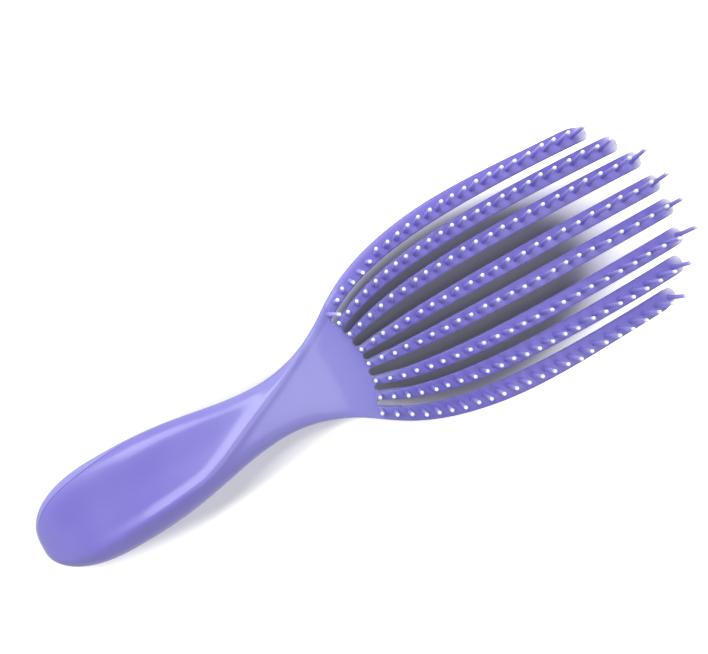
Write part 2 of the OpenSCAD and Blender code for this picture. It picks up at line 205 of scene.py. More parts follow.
# Front half of the handle: one glossy moulding for the face of the grip, the neck and the
# whole palm. A rounded ridge twists over it, and the palm ends in the slots' round ends.
# The grip, the neck and the palm.
HANDLE_L = 0.1285
ARM_L = 0.117
GRIP_W = 0.0342
GRIP_T = 0.021
GRIP_PEAK = 0.030
SLOPE_FROM = 0.038
NECK_W = 0.0209
NECK_AT = 0.090
NECK_LIFT = 0.0022
NECK_LIFT_L = 0.042
PALM_W = 0.0523
PALM_H = 0.0076
SHELL_WALL = 0.0036
SEAM_GRIP_H = 0.010
SEAM_PALM_H = 0.0028
PALM_EDGE_L = 0.004
UNDERSIDE_FROM, UNDERSIDE_L = -0.004, 0.005
COVER_BACK = 0.015
COVER_GAP = 0.0001
RIDGE_FROM = 0.060
RIDGE_TO = 0.113
RIDGE_H = 0.0010
RIDGE_W = 0.0046
BEAD_FADE_POWER = 12
DISH_DEPTH = 0.0013
GRIP_SHIFT = 0.0026
LEAST_HALF = 1e-6
# The head: its arch, the arms' widths and how their rows fan out.
HEAD_RISE = 0.0074
HEAD_R = 0.600
ARM_T = 0.0044
ARM_ROOT_W = 0.0031
ARM_TIP_W = 0.0062
WIDEN_L = 0.026
SHOULDER_W = 0.0015
SHOULDER_FROM, SHOULDER_TO = 0.038, 0.095
ROOT_HALF = 0.019
FAN_OUT = 0.0164
FAN_L = 0.0237
DRAW_IN = 0.0042
ROOT_BOW = 0.0043
TIP_BOW = 0.014
SLOT_START = 0.0007
SLOT_BOW = 0.0041
EDGE_R = 0.0006
BEAD_END_X = 0.012
HEAD_FROM_X, HEAD_FULL_X = -0.0185, 0.0015
# Shapes of the curves, and shares of widths.
END_POWERS = (2.4, 2.1)
WAIST_POWER = 1.28
FLARE_POWER = 2.0
TIP_BOW_POWER = 2.5
RIDGE_SHARES = (-0.59, 0.92)
FACET_POWERS = (1.5, 2.6)
BACK_POWER = 3
DISH_SHARES = (0.3, 0.5)
DISH_FROM, DISH_FULL = 0.004, 0.024
ROW_SHARES = (1, 0.74, 0.47, 0.147, -0.147, -0.47, -0.74, -1)
# The parting line, from where it starts on the face to where it runs out to the outline.
GROOVE_IN = 0.0024
GROOVE_RUNOUT = 0.006
GROOVE_EDGE = 0.0022
GROOVE_START_SHARE, GROOVE_START_L = 0.985, 0.0035
GROOVE_SHARES = (0.85, 0.96)
GROOVE_WIDENS, GROOVE_WIDEN_L = 0.018, 0.030
GROOVE_MEETS, GROOVE_MEET_L = 0.094, 0.018
GROOVE_W = 0.00026
GROOVE_DEPTH = 0.00014
GROOVE_TUCK = 0.75
# Places along the brush that follow from the sizes above.
GRIP_END_X = -(HANDLE_L + ARM_L) / 2
ROOT_X = GRIP_END_X + HANDLE_L
COVER_END = HANDLE_L - COVER_BACK
LOFT_END = HANDLE_L - ROOT_BOW - ARM_ROOT_W / 4


def ease(q):
    """Smooth step from 0 to 1."""
    q = np.clip(q, 0, 1)
    return q * q * (3 - 2 * q)


def mix(a, b, q):
    return a + (b - a) * q


def end_cap(d):
    """Superelliptic rounding of the grip's end, 0 at the end and 1 at the widest place."""
    q = np.clip(d / GRIP_PEAK, 0, 1)
    return (1 - (1 - q) ** END_POWERS[0]) ** (1 / END_POWERS[1])


def half_width(d):
    """Half the handle's width: round end, then a cosine to the neck, then a power flare."""
    waist = np.clip((d - GRIP_PEAK) / (NECK_AT - GRIP_PEAK), 0, 1) ** WAIST_POWER
    grip = mix(NECK_W, GRIP_W, (1 + np.cos(np.pi * waist)) / 2) / 2
    spread = np.clip((d - NECK_AT) / (HANDLE_L - NECK_AT), 0, 2) ** FLARE_POWER
    flare = mix(NECK_W, PALM_W, spread) / 2
    return np.where(d <= GRIP_PEAK, GRIP_W / 2 * end_cap(d), np.where(d <= NECK_AT, grip, flare))


def side_shift(x):
    """The handle stands a little askew to the head: its end is shifted towards -Y."""
    return -GRIP_SHIFT * np.clip(1 - (x - GRIP_END_X) / LOFT_END, 0, 1)


def seam_height(d):
    """Height of the widest line of the handle, where its front meets its back."""
    return mix(SEAM_GRIP_H, SEAM_PALM_H, ease((d - SLOPE_FROM) / (COVER_END - SLOPE_FROM)))


def arch_height(x):
    """Height of the head's face: a circular arch, seen from the side."""
    apex = ROOT_X + math.sqrt(HEAD_R**2 - (HEAD_R - HEAD_RISE) ** 2)
    return PALM_H + HEAD_RISE - HEAD_R + np.sqrt(HEAD_R**2 - (x - apex) ** 2)


def ridge_height(d):
    """Height of the ridge: the grip's full height, then a smooth slope down to the head."""
    slope = ease((d - SLOPE_FROM) / (LOFT_END - SLOPE_FROM))
    full = mix(GRIP_T, arch_height(GRIP_END_X + LOFT_END), slope)
    return seam_height(d) + (full - seam_height(d)) * end_cap(d)


def ridge_side(d):
    """Where the ridge stands across the handle: it crosses from -Y on the grip to +Y."""
    return half_width(d) * mix(*RIDGE_SHARES, ease((d - RIDGE_FROM) / (RIDGE_TO - RIDGE_FROM)))


def front_height(d, y):
    """Two superelliptic facets fall from the ridge to the sides; the wide one is dished and
    a Gaussian bead runs along the ridge."""
    w = np.maximum(half_width(d), LEAST_HALF)
    r = ridge_side(d)
    share = (w - r) / (2 * w)
    upper = y > r
    a = np.clip(np.where(upper, (y - r) / (w - r), (r - y) / (w + r)), 0, 1)
    wide = np.where(upper, share, 1 - share)
    power = FACET_POWERS[0] + FACET_POWERS[1] * wide
    fall = np.clip(1 - a**power, 0, 1) ** (1 / power)
    dished = np.clip((share - DISH_SHARES[0]) / DISH_SHARES[1], 0, 1)
    dished = dished * ease((d - DISH_FROM) / (DISH_FULL - DISH_FROM))
    dish = np.where(upper, DISH_DEPTH * dished * np.sin(np.pi * a) ** 2, 0)
    bead = RIDGE_H * np.exp(-((2 * (y - r) / RIDGE_W) ** 2))
    bead = bead * (1 - np.minimum(1, abs(y) / w) ** BEAD_FADE_POWER)
    bead = bead * ease((d - GRIP_PEAK / 3) / GRIP_PEAK)
    return seam_height(d) + (ridge_height(d) - seam_height(d)) * fall + bead - dish


def back_height(d, y):
    """The handle's back: flat on the table, with round sides and a lifted neck."""
    w = np.maximum(half_width(d), LEAST_HALF)
    lift = NECK_LIFT * np.sin(np.pi * np.clip((d - NECK_AT) / NECK_LIFT_L + 0.5, 0, 1)) ** 2
    round_side = np.clip(1 - np.minimum(1, abs(y) / w) ** BACK_POWER, 0, 1) ** (1 / BACK_POWER)
    return seam_height(d) - (seam_height(d) - lift) * end_cap(d) * round_side


def row_x(s):
    """Where a row starts. s is its share of the head's half width, 1 on the +Y side."""
    return ROOT_X - ROOT_BOW * s * s


def row_l(s):
    """Length of a row from its root to the arm's tip, shorter towards the sides."""
    return ROOT_X + ARM_L - TIP_BOW * abs(s) ** TIP_BOW_POWER - row_x(s)


def row_half(t):
    """Half width of the head at the outermost row: it fans out, then draws in a little."""
    t = np.maximum(t, 0)
    return ROOT_HALF + FAN_OUT * (1 - np.exp(-t / FAN_L)) - DRAW_IN * (t / ARM_L) ** 2


def row_slope(s, t):
    """Slope of a row in plan, over a short step."""
    step = 0.001
    return s * (row_half(t + step) - row_half(t)) / step


def arm_half(s, t, side):
    """Half width of an arm across its own direction, with the outermost arms' shoulder."""
    widened = (1 - np.exp(-np.maximum(t, 0) / WIDEN_L)) / (1 - math.exp(-ARM_L / WIDEN_L))
    plain = mix(ARM_ROOT_W, ARM_TIP_W, widened) / 2
    shoulder = SHOULDER_W * (1 - ease((t - SHOULDER_FROM) / (SHOULDER_TO - SHOULDER_FROM)))
    return plain + (shoulder if s * side == 1 else 0)


def edge_y(s, t, side):
    """One side of an arm in plan, at a distance t from the row's root."""
    return s * row_half(t) + side * np.sqrt(1 + row_slope(s, t) ** 2) * arm_half(s, t, side)


def palm_half(x):
    """Half width of the palm: the handle's flare, then the outermost arm's outer edge."""
    outer_arm = edge_y(1, x - row_x(1), 1)
    return mix(half_width(x - GRIP_END_X), outer_arm, ease(x / PALM_EDGE_L))


def edge_drop(inside, radius):
    """How far a rounded edge lies below its face, at a distance inside the outline."""
    short = np.clip(radius - inside, 0, radius)
    return radius - np.sqrt(radius**2 - short**2)


def head_height(x, y):
    """The head's arched face, with the end of the ridge's bead running out on arm 1."""
    bead = np.exp(-((2 * (y - palm_half(x) * RIDGE_SHARES[1]) / RIDGE_W) ** 2))
    return arch_height(x) + RIDGE_H * bead * ease((BEAD_END_X - x) / BEAD_END_X)


def at_edge(x, y, height):
    """On the palm's very outline both faces meet halfway down its side."""
    outer = np.isclose(abs(y), palm_half(x), rtol=0, atol=1e-9)
    return np.where(outer, arch_height(x) - ARM_T / 2, height)


def top_height(x, y):
    """Handle front up to the palm, then the head's face with rounded outer edges."""
    plate = head_height(x, y) - edge_drop(palm_half(x) - abs(y), EDGE_R)
    plate = at_edge(x, y, plate)
    on_head = ease((x - HEAD_FROM_X) / (HEAD_FULL_X - HEAD_FROM_X))
    return mix(front_height(x - GRIP_END_X, y), plate, on_head)


def bottom_height(x, y):
    """Handle back up to the palm, then the underside of the arms' roots."""
    d = x - GRIP_END_X
    plate = arch_height(x) - ARM_T + edge_drop(palm_half(x) - abs(y), EDGE_R)
    plate = at_edge(x, y, plate)
    return mix(back_height(d, y), plate, ease((x - UNDERSIDE_FROM) / UNDERSIDE_L))


def slot_frame(k):
    """Centre, radius and direction of the round end of the slot between rows k and k + 1."""
    sa, sb = ROW_SHARES[k], ROW_SHARES[k + 1]
    x = ROOT_X + SLOT_START - SLOT_BOW * ((sa + sb) / sum(ROW_SHARES[:2])) ** 2
    high, low = edge_y(sa, x - row_x(sa), -1), edge_y(sb, x - row_x(sb), 1)
    slope = (row_slope(sa, x - row_x(sa)) + row_slope(sb, x - row_x(sb))) / 2
    way = np.array([1, slope]) / math.hypot(1, slope)
    return np.array([x, (high + low) / 2]), (high - low) / 2 / math.hypot(1, slope), way


SLOT_COLUMNS = 13
ARM_COLUMNS = 4
EDGE_COLUMNS = 10


def palm_outline():
    """Plan points where the palm's face ends, from +Y to -Y, and for each point the way
    into its slot, which is zero on the cuts between the palm and the arms."""
    points, ways = [], []
    for k in range(len(ROW_SHARES) - 1):
        centre, radius, way = slot_frame(k)
        side = np.array([-way[1], way[0]])
        inner = centre + (radius + EDGE_R) * side
        if k == 0:
            start = np.array([inner[0], palm_half(inner[0])])
            share = 1 - np.cos(np.linspace(0, np.pi / 2, EDGE_COLUMNS, endpoint=False))
        else:
            start = points[-1]
            share = np.linspace(0, 1, ARM_COLUMNS + 2)[1:-1]
        points += [mix(start, inner, q) for q in share]
        ways += [np.zeros(2)] * len(share)
        for turn in np.linspace(np.pi / 2, -np.pi / 2, SLOT_COLUMNS):
            away = -np.cos(turn) * way + np.sin(turn) * side
            points.append(centre + (radius + EDGE_R) * away)
            ways.append(-away)
    last = points[-1]
    outer = np.array([last[0], -palm_half(last[0])])
    share = np.sin(np.linspace(0, np.pi / 2, EDGE_COLUMNS + 1)[1:])
    points += [mix(last, outer, q) for q in share]
    ways += [np.zeros(2)] * EDGE_COLUMNS
    return np.array(points), np.array(ways)


def slab_shell(top, low, values):
    """A closed slab of quads from a top and a low grid of points of the same size, joined all
    round and set askew. values names float attributes, each a grid like top's, used for both."""
    rings, runs = top.shape[:2]
    points = np.concatenate([top.reshape(-1, 3), low.reshape(-1, 3)])
    points[:, 1] += side_shift(points[:, 0])
    place = np.arange(rings * runs).reshape(rings, runs)
    corners = [place[:-1, :-1], place[1:, :-1], place[1:, 1:], place[:-1, 1:]]
    upper = np.stack(corners, -1).reshape(-1, 4)
    rim = np.concatenate([place[0, :-1], place[:-1, -1], place[-1, :0:-1], place[:0:-1, 0]])
    after = np.roll(rim, -1)
    wall = np.stack([rim, after, after + rings * runs, rim + rings * runs], -1)
    faces = np.concatenate([upper, upper[:, ::-1] + rings * runs, wall]).tolist()
    return points, faces, {key: np.tile(value.ravel(), 2) for key, value in values.items()}


MERGE_DIST = 2e-6
SLIVER_DIST = 1e-7
SMOOTH_ANGLE = 40


def piece_from(name, shells, sharp=SMOOTH_ANGLE):
    """One object from closed shells of points, faces and attributes. Doubled points are
    merged, faces turned outwards, and edges smoothed up to an angle in degrees."""
    starts = np.cumsum([0] + [len(points) for points, _, _ in shells]).tolist()
    faces = []
    for (_, own_faces, _), start in zip(shells, starts):
        faces += [[i + start for i in face] for face in own_faces]
    mesh = bpy.data.meshes.new(name)
    mesh.from_pydata(np.concatenate([points for points, _, _ in shells]).tolist(), [], faces)
    for key in shells[0][2]:
        attribute = mesh.attributes.new(key, "FLOAT", "POINT")
        value = np.concatenate([values[key] for _, _, values in shells]).astype(np.float32)
        attribute.data.foreach_set("value", value)
    work = bmesh.new()
    work.from_mesh(mesh)
    bmesh.ops.remove_doubles(work, verts=work.verts, dist=MERGE_DIST)
    bmesh.ops.dissolve_degenerate(work, edges=work.edges, dist=SLIVER_DIST)
    bmesh.ops.recalc_face_normals(work, faces=work.faces)
    work.to_mesh(mesh)
    work.free()
    mesh.shade_smooth()
    mesh.set_sharp_from_angle(angle=math.radians(sharp))
    return link_new(name, mesh)


PALM_RINGS = 34
GRIP_RINGS = 110
RINGS_CROWD, RINGS_ROUND = 0.35, 0.25
ROUND_STEPS = 5
# The arms' painted shade starts before the roots and is full a little past them.
ROOT_SHADE_FROM, ROOT_SHADE_FULL = -0.0055, 0.024
# Painted shade on the grip's face: its share, where it starts and how far it grows.
GRIP_PAINTED_SHADE, GRIP_SHADE_FROM, GRIP_SHADE_L = 0.85, -0.02, 0.05


def groove_half(d, side):
    """Half width of the front half at the parting line. On the +Y side it lies well inside
    the outline on the grip and reaches it at the palm, on the -Y side near the grip's end."""
    full = half_width(d)
    inset = half_width(np.maximum(d - GROOVE_IN, 0))
    if side < 0:
        return mix(GROOVE_START_SHARE * inset, full, ease((d - GROOVE_IN) / GROOVE_START_L))
    share = mix(*GROOVE_SHARES, ease((d - GROOVE_WIDENS) / GROOVE_WIDEN_L))
    return mix(share * inset, full, ease((d - GROOVE_MEETS) / GROOVE_MEET_L))


def groove_both(measure, d, side):
    """A measure of the parting line on the side that each number lies on."""
    return np.where(side > 0, measure(d, 1), measure(d, -1))


def groove_gap(d, side):
    """Half of the parting line's width: it closes up where the line reaches the outline."""
    return GROOVE_W / 2 * np.clip((half_width(d) - groove_half(d, side)) / GROOVE_EDGE, 0, 1)


def groove_in(rings, share):
    """How far before the grip's end the front half starts: less and less towards -Y."""
    return GROOVE_IN * (1 - rings / COVER_END) * (1 - ease(-share) * ease(rings / GROOVE_RUNOUT))


def inner_half(d):
    """Half width of the hollow inside the shells."""
    return np.maximum(half_width(d) - SHELL_WALL, half_width(d) / 2)


def grip_rings():
    """Distances of the rings from the grip's end, close together at the round end."""
    q = np.linspace(0, 1, GRIP_RINGS)
    crowd = RINGS_CROWD * q**2 + (1 - RINGS_CROWD) * q
    return COVER_END * crowd * mix(q, 1, ease(q / RINGS_ROUND))


def inner_rings():
    """The same rings for the hollow inside, which stays a wall short of the grip's end."""
    return mix(SHELL_WALL, COVER_END - COVER_GAP, grip_rings()[:, None] / COVER_END)


def with_x(d, y, z):
    """Points from their distance to the grip's end, y and z."""
    return np.stack(np.broadcast_arrays(GRIP_END_X + d, y, z), -1)


def painted_root_shade(x, y):
    """How far the lavender is painted a deeper violet, painted shade for the arms among
    the pins: a soft step at the roots.
    """
    share = np.clip(abs(y) / ROOT_HALF, 0, 1)
    root = ROOT_X - ROOT_BOW * share**2
    return ease((x - root - ROOT_SHADE_FROM) / (ROOT_SHADE_FULL - ROOT_SHADE_FROM))


def with_edges(grid):
    """A grid with its first and last run doubled, as partners for the rolled edges."""
    return np.concatenate([grid[:, :1], grid, grid[:, -1:]], 1)


def handle_front_shell():
    """Behind the palm the low grid is the inside of the shell, and its edge rolls into the
    parting groove. The palm is solid, and its edge turns down into each slot."""
    outline, ways = palm_outline()
    share = outline[:, 1] / palm_half(outline[:, 0])
    rings = grip_rings()[:, None]
    d = rings + groove_in(rings, share)
    reach = groove_both(groove_half, d, share)
    gap = groove_both(groove_gap, d, share)
    y = share * np.maximum(reach - gap, 0)
    top = with_x(d, y, top_height(GRIP_END_X + d, y))
    ends = [0, -1]
    tuck = GROOVE_W / 2 - GROOVE_TUCK * gap[:, ends]
    roll_y = np.sign(share[ends]) * np.maximum(reach[:, ends] - tuck, 0)
    roll = with_x(d[:, ends], roll_y, top[:, ends, 2] - GROOVE_DEPTH)
    top = np.concatenate([roll[:, :1], top, roll[:, 1:]], 1)
    deep = inner_rings()
    wide = np.concatenate([share[:1], share, share[-1:]])
    y = wide * inner_half(deep)
    low = with_x(deep, y, np.maximum(seam_height(deep), front_height(deep, y) - SHELL_WALL))
    v = np.linspace(0, 1, PALM_RINGS)[:, None]
    x = mix(GRIP_END_X + COVER_END + COVER_GAP, outline[:, 0], v)
    y = share * palm_half(x)
    palm_top = np.stack([x, y, top_height(x, y)], -1)
    palm_low = np.stack([x, y, bottom_height(x, y)], -1)
    turn = np.linspace(0, np.pi / 2, ROUND_STEPS + 1)[1:, None]
    edge = outline + EDGE_R * np.sin(turn)[..., None] * ways
    moved = (np.abs(ways).sum(1) > 0) * EDGE_R * (1 - np.cos(turn))
    round_top = np.concatenate([edge, (palm_top[-1, :, 2] - moved)[..., None]], -1)
    round_low = np.concatenate([edge, (palm_low[-1, :, 2] + moved)[..., None]], -1)
    palm_top = np.concatenate([palm_top, round_top])
    palm_low = np.concatenate([palm_low, round_low])
    top = np.concatenate([top, with_edges(palm_top)])
    low = np.concatenate([low, with_edges(palm_low)])
    # Painted shade: the palm turns a deeper violet towards the arms' roots.
    painted_shade = painted_root_shade(top[..., 0], top[..., 1])
    # Painted shade: the grip's face turns a deeper violet towards its end.
    painted_shade = painted_shade + GRIP_PAINTED_SHADE * ease((GRIP_SHADE_FROM - top[..., 0]) / GRIP_SHADE_L)
    return slab_shell(top, low, {"deep": painted_shade, "pale": 0 * painted_shade})


LAVENDER = (139, 136, 208)
# Painted shade: the deeper violet on the arms, among their pins.
SHADED_VIOLET = (122, 114, 198)
# Painted light: the lighter lavender that the pins turn to towards their tips.
PIN_LIT_LAVENDER = (172, 163, 246)
# Painted highlight: near-white on the pins' tips and the arms' tips.
HIGHLIGHT_WHITE = (250, 249, 255)
NOISE_RANGE = (0.2, 0.8)
SHADE_NOISE, SHADES = (45, 2), (0.98, 1.02)
TINT_NOISE, TINTS = (70, 1), (0.97, 1.03)
ROUGH_NOISE, ROUGHNESSES = (260, 3), (0.34, 0.38)
RIPPLE_NOISE = (420, 2)


def screen(colour):
    """Linear colour from 8-bit screen values."""
    value = np.array(colour) / 255
    linear = np.where(value <= 0.04045, value / 12.92, ((value + 0.055) / 1.055) ** 2.4)
    return (*linear.tolist(), 1)


def moulded_group():
    """Colours of a coloured moulding: plain, then painted shade (deep), painted light (bright)
    and a painted highlight (pale), by three masks, with wide clouding, and a fine moulded
    ripple for the roughness and the bump. Each noise is given by its scale and detail."""
    group = bpy.data.node_groups.new("moulded_plastic", "ShaderNodeTree")
    for name in ("Plain", "Deep", "Bright", "Pale"):
        group.interface.new_socket(name, in_out="INPUT", socket_type="NodeSocketColor")
    for name in ("Deep Mask", "Bright Mask", "Pale Mask"):
        group.interface.new_socket(name, in_out="INPUT", socket_type="NodeSocketFloat")
    group.interface.new_socket("Colour", in_out="OUTPUT", socket_type="NodeSocketColor")
    group.interface.new_socket("Roughness", in_out="OUTPUT", socket_type="NodeSocketFloat")
    group.interface.new_socket("Height", in_out="OUTPUT", socket_type="NodeSocketFloat")
    nodes, links = group.nodes, group.links
    given, put = nodes.new("NodeGroupInput"), nodes.new("NodeGroupOutput")
    place = nodes.new("ShaderNodeTexCoord")

    def noise(scale, detail):
        node = nodes.new("ShaderNodeTexNoise")
        node.inputs["Scale"].default_value = scale
        node.inputs["Detail"].default_value = detail
        links.new(place.outputs["Object"], node.inputs["Vector"])
        return node.outputs["Fac"]

    def blend_colour(mask, first, second):
        node = nodes.new("ShaderNodeMix")
        node.data_type = "RGBA"
        for value, number in ((mask, 0), (first, 6), (second, 7)):
            links.new(value, node.inputs[number])
        return node.outputs[2]

    def spread(value, low, high):
        node = nodes.new("ShaderNodeMapRange")
        node.inputs["From Min"].default_value = NOISE_RANGE[0]
        node.inputs["From Max"].default_value = NOISE_RANGE[1]
        node.inputs["To Min"].default_value = low
        node.inputs["To Max"].default_value = high
        links.new(value, node.inputs["Value"])
        return node.outputs["Result"]

    colour = given.outputs["Plain"]
    for name in ("Deep", "Bright", "Pale"):
        colour = blend_colour(given.outputs[name + " Mask"], colour, given.outputs[name])
    cloud = nodes.new("ShaderNodeHueSaturation")
    links.new(colour, cloud.inputs["Color"])
    links.new(spread(noise(*SHADE_NOISE), *SHADES), cloud.inputs["Value"])
    links.new(spread(noise(*TINT_NOISE), *TINTS), cloud.inputs["Saturation"])
    links.new(cloud.outputs["Color"], put.inputs["Colour"])
    links.new(spread(noise(*ROUGH_NOISE), *ROUGHNESSES), put.inputs["Roughness"])
    links.new(noise(*RIPPLE_NOISE), put.inputs["Height"])
    return group


MOULDED = moulded_group()


def moulded_material(name, coat, ripple):
    """Glossy moulding. coat is the weight of its polished skin, ripple its waviness in m."""
    material = bpy.data.materials.new(name)
    material.use_nodes = True
    nodes, links = material.node_tree.nodes, material.node_tree.links
    shader = nodes["Principled BSDF"]
    group = nodes.new("ShaderNodeGroup")
    group.node_tree = MOULDED
    group.inputs["Plain"].default_value = screen(LAVENDER)
    # Deep, Bright and Pale are painted shade, painted light and a painted highlight.
    for socket, colour in (("Deep", SHADED_VIOLET), ("Bright", PIN_LIT_LAVENDER), ("Pale", HIGHLIGHT_WHITE)):
        group.inputs[socket].default_value = screen(colour)
        mask = nodes.new("ShaderNodeAttribute")
        mask.attribute_name = socket.lower()
        links.new(mask.outputs["Fac"], group.inputs[socket + " Mask"])
    bump = nodes.new("ShaderNodeBump")
    bump.inputs["Distance"].default_value = ripple
    links.new(group.outputs["Height"], bump.inputs["Height"])
    links.new(bump.outputs["Normal"], shader.inputs["Normal"])
    links.new(group.outputs["Colour"], shader.inputs["Base Color"])
    links.new(group.outputs["Roughness"], shader.inputs["Roughness"])
    shader.inputs["Coat Weight"].default_value = coat
    shader.inputs["Coat Roughness"].default_value = 0.14
    shader.inputs["Specular IOR Level"].default_value = 0.4
    return material


handle_plastic = moulded_material("handle_lavender_painted_shade", coat=0.3, ripple=0.00001)
handle_front = piece_from("handle_front_shell", [handle_front_shell()])
handle_front.data.materials.append(handle_plastic)
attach(handle_front, "handle")
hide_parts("handle_front")


# Back half of the handle: a second thin moulding of the same plastic. It wraps over the
# sides of the grip to the parting groove on its face, and is pressed onto pegs inside.
SIDE_COLUMNS = 9
BACK_COLUMNS = 30


def handle_back_shell():
    """Outer run: out of the +Y groove, over the side, across the back and up to the -Y
    groove. Inner run: along the rim and the inside of the wall. The first ring lies folded in
    the middle plane, so the inside gets an end face of its own."""
    q = np.linspace(0, 1, SIDE_COLUMNS + 1)[:-1]
    face = np.sin(q * np.pi / 2)
    out = np.concatenate([[0], face, np.ones(BACK_COLUMNS + 1), face[::-1], [0]])
    start = np.zeros(SIDE_COLUMNS + 1)
    turn = np.concatenate([start, np.linspace(0, np.pi, BACK_COLUMNS + 1), start + np.pi])
    rings = grip_rings()[:, None] * (1 - COVER_GAP / COVER_END)
    side = np.sign(np.cos(turn))
    groove_d = rings + groove_in(rings, side)
    d = mix(groove_d, rings, out)
    gap = groove_both(groove_gap, groove_d, side) * np.clip(rings / GROOVE_EDGE, 0, 1)
    gap[:, [0, -1]] *= 1 - GROOVE_TUCK
    lip = groove_both(groove_half, groove_d, side) + gap
    lip = np.minimum(lip, half_width(groove_d))
    on_face = out < 1
    y = np.where(on_face, side * mix(lip, half_width(rings), out), half_width(d) * np.cos(turn))
    z = np.where(on_face, top_height(GRIP_END_X + d, y), back_height(d, y))
    z[:, [0, -1]] -= GROOVE_DEPTH
    outer = with_x(d, y, z)
    deep = inner_rings()
    y = inner_half(deep) * np.cos(turn)
    floor_z = np.minimum(seam_height(deep), back_height(deep, y) + SHELL_WALL)
    z = np.where(on_face, seam_height(deep), floor_z)
    plain = 0 * outer[..., 0]
    points, faces, values = slab_shell(outer, with_x(deep, y, z), {"deep": plain, "pale": plain})
    runs, inner = len(out), plain.size
    # The walls that would join the first rings give way to the inside's end face and to one
    # triangle where the rims meet.
    first_wall = 2 * (GRIP_RINGS - 1) * (runs - 1)
    end_face = list(range(inner, inner + runs))
    faces[first_wall:first_wall + runs - 1] = [end_face, [0, inner + runs - 1, inner]]
    return points, faces, values


handle_back = piece_from("handle_back_shell", [handle_back_shell()])
handle_back.data.materials.append(handle_plastic)
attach(handle_back, "handle")
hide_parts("handle_back")


# First pin of each row: it stands on the palm's edge, where the arm begins. The pins are
# moulded with the face, slender cones with a blunt tip and a small fillet at the foot. Their
# tips carry a painted highlight, near-white, and their stems a faint one that grows upwards.
PIN_L = 0.012
PIN_BASE_D = 0.0017
PIN_TIP_D = 0.0013
PIN_FIRST = 0.0004
PIN_LAST = 0.0023
PIN_LAST_SHARES = (2.48, 3.04, 1.7, 1.52, 1.3, 1, 2, 1.3)
PIN_CROWD = 0.075
PIN_SINK = 0.0003
PIN_FILLET_W, PIN_FILLET_H = 0.00025, 0.0007
PIN_FILLET_RINGS = (0, 0.06, 0.12, 0.2)
PIN_STEM_RINGS = (0.25, 0.55, 0.85)
PIN_DOME_RINGS = (0, 32, 58, 80)
PIN_SIDES = 12
PIN_SMOOTH_ANGLE = 50
ROW_PINS = 24
PIN_ASIDE, PIN_ASIDE_FADE = 0.08, 0.8
LAST_PIN_LEANS = (0.0, 0.0, 0.03, 0.03, 0.03, 0.10, 0.05, 0.0)
TIP_DROOP = 0.0011
TIP_DROOP_L = 0.0065
LEAN_SEED, LEAN_SPREAD = 5, 0.018
BENT_PINS = {
    0: (0.30, -0.19), 1: (0.10, -0.02), 3: (0.03, -0.15), 4: (0.05, -0.17), 5: (0.02, -0.10),
}
# Painted light up each pin, from its foot to its tip.
PIN_PAINTED_LIGHT = (0.15, 1.0)
# Painted highlight: a faint share up the stem, then near-white from near the top.
PIN_STEM_HIGHLIGHT = 0.12
PIN_HIGHLIGHT_FROM, PIN_HIGHLIGHT_FADE = 0.90, 0.06


def pin_t(s, k):
    """Distance of pin k from the root of its row: a little closer together at the root."""
    q = k / (ROW_PINS - 1)
    last = row_l(s) - PIN_LAST * PIN_LAST_SHARES[ROW_SHARES.index(s)]
    return PIN_FIRST + (last - PIN_FIRST) * (q - PIN_CROWD * (q - q**3))


def droop(s, t):
    """How far the end of an arm curls down, by a square law over its last stretch."""
    return TIP_DROOP * np.clip(1 - (row_l(s) - t) / TIP_DROOP_L, 0, 1) ** 2


# How far each pin leans for its height, along X and Y: all a little towards +Y, the last
# ones towards the tip, and five on arm 1 bent out of line.
lean_draw = np.random.default_rng(LEAN_SEED)
PIN_LEANS = lean_draw.normal(0, LEAN_SPREAD, (len(ROW_SHARES), ROW_PINS, 2))
PIN_LEANS[..., 1] += PIN_ASIDE * (1 - PIN_ASIDE_FADE * np.square(ROW_SHARES))[:, None]
PIN_LEANS[:, -1, 0] += LAST_PIN_LEANS
for bent, lean in BENT_PINS.items():
    PIN_LEANS[0, bent] = lean


